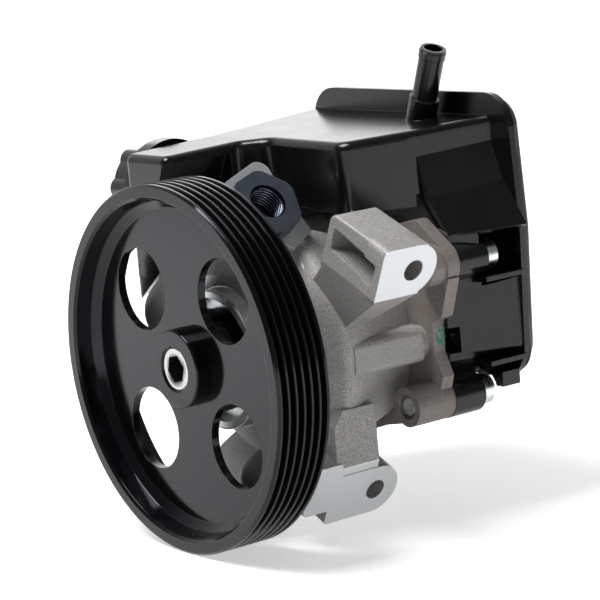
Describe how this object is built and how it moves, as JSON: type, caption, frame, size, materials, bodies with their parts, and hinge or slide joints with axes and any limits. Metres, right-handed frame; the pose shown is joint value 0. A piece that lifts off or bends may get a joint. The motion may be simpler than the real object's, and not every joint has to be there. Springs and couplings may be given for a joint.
{
  "type": "power steering pump",
  "caption": "Vane power steering pump: a grooved belt pulley, a cast housing with drilled mounting ears and a black fluid reservoir wrapped over its back.",
  "frame": {"origin": "on the shaft's axis, at the middle plane of the belt grooves", "axes": "-Y along the shaft out of the pulley's front, +Y towards the reservoir's lid, +Z towards the reservoir's top, +X to the side of the mounting ears"},
  "size_m": [0.1767, 0.1366, 0.1871],
  "materials": {
    "black_coat": "gloss black coating",
    "steel": "machined",
    "bearing_steel": "ground",
    "spring_steel": "oiled",
    "cage_plastic": "moulded",
    "rubber": "matte",
    "cast_aluminium": "fine-grained die casting with machined faces",
    "dark_casting": "rough dark casting",
    "bronze": "plain",
    "zinc": "bright zinc plating",
    "dark_steel": "blackened",
    "black_plastic": "fine grain",
    "screen_plastic": "woven"
  },
  "bodies": {
    "pump": {"bearing_outer_race": "bearing_steel", "retaining_ring": "spring_steel", "shaft_seal": "rubber", "pump_housing": "cast_aluminium", "valve_head": "cast_aluminium", "cam_ring": "steel", "front_pressure_plate": "steel", "rear_pressure_plate": "steel", "dowel_pins": "bearing_steel", "plate_spring": "spring_steel", "shaft_bush": "bronze", "rear_cover": "dark_casting", "housing_o_ring": "rubber", "cover_bolts": "zinc", "suction_o_ring": "rubber", "pressure_port_union": "dark_steel", "union_seal": "steel", "flow_control_spring": "spring_steel", "reservoir_body": "black_plastic", "reservoir_lid": "black_plastic", "reservoir_screws": "zinc", "screw_sleeves": "zinc", "filter_screen": "screen_plastic"},
    "rotating": {"pulley": "black_coat", "pulley_hub": "black_coat", "drive_shaft": "steel", "bearing_inner_race": "bearing_steel", "rotor": "steel", "rotor_ring": "spring_steel"},
    "ball_cage": {"bearing_balls": "bearing_steel", "bearing_cage": "cage_plastic"},
    "valve_spool": {"flow_control_spool": "bearing_steel"},
    "gasket": {"cap_gasket": "rubber"},
    "cap": {"filler_cap": "black_plastic"},
    "blade_1": {"vane_1": "bearing_steel"},
    "blade_2": {"vane_2": "bearing_steel"},
    "blade_3": {"vane_3": "bearing_steel"},
    "blade_4": {"vane_4": "bearing_steel"},
    "blade_5": {"vane_5": "bearing_steel"},
    "blade_6": {"vane_6": "bearing_steel"},
    "blade_7": {"vane_7": "bearing_steel"},
    "blade_8": {"vane_8": "bearing_steel"},
    "blade_9": {"vane_9": "bearing_steel"},
    "blade_10": {"vane_10": "bearing_steel"}
  },
  "joints": [
    {"name": "shaft_spin", "type": "hinge", "parent": "pump", "child": "rotating", "pos_m": [0, 0, 0], "axis": [0, 1, 0], "continuous": true},
    {"name": "cage_spin", "type": "hinge", "parent": "pump", "child": "ball_cage", "pos_m": [0, 0.024, 0], "axis": [0, 1, 0], "continuous": true},
    {"name": "valve_slide", "type": "slide", "parent": "pump", "child": "valve_spool", "axis": [-0.7912, 0, -0.6115], "range_m": [0, 0.006], "stiffness_N_per_m": 400, "deforming": ["flow_control_spring"]},
    {"name": "cap_lift", "type": "slide", "parent": "pump", "child": "gasket", "axis": [-1, 0, 0], "range_m": [0, 0.03]},
    {"name": "cap_turn", "type": "hinge", "parent": "gasket", "child": "cap", "pos_m": [-0.07, 0.0426, 0.061], "axis": [-1, 0, 0], "range_deg": [0, 90]},
    {"name": "vane_1_slide", "type": "slide", "parent": "rotating", "child": "blade_1", "axis": [0.9877, 0, 0.1564], "range_m": [0, 0.00016]},
    {"name": "vane_2_slide", "type": "slide", "parent": "rotating", "child": "blade_2", "axis": [0.7071, 0, 0.7071], "range_m": [0, 0.00135]},
    {"name": "vane_3_slide", "type": "slide", "parent": "rotating", "child": "blade_3", "axis": [0.1564, 0, 0.9877], "range_m": [0, 0.00254]},
    {"name": "vane_4_slide", "type": "slide", "parent": "rotating", "child": "blade_4", "axis": [-0.454, 0, 0.891], "range_m": [0, 0.00208]},
    {"name": "vane_5_slide", "type": "slide", "parent": "rotating", "child": "blade_5", "axis": [-0.891, 0, 0.454], "range_m": [0, 0.00062]},
    {"name": "vane_6_slide", "type": "slide", "parent": "rotating", "child": "blade_6", "axis": [-0.9877, 0, -0.1564], "range_m": [0, 0.00016]},
    {"name": "vane_7_slide", "type": "slide", "parent": "rotating", "child": "blade_7", "axis": [-0.7071, 0, -0.7071], "range_m": [0, 0.00135]},
    {"name": "vane_8_slide", "type": "slide", "parent": "rotating", "child": "blade_8", "axis": [-0.1564, 0, -0.9877], "range_m": [0, 0.00254]},
    {"name": "vane_9_slide", "type": "slide", "parent": "rotating", "child": "blade_9", "axis": [0.454, 0, -0.891], "range_m": [0, 0.00208]},
    {"name": "vane_10_slide", "type": "slide", "parent": "rotating", "child": "blade_10", "axis": [0.891, 0, -0.454], "range_m": [0, 0.00062]}
  ],
  "couplings": [
    {"joint": "cage_spin", "follows": "shaft_spin", "ratio": 0.3818}
  ]
}
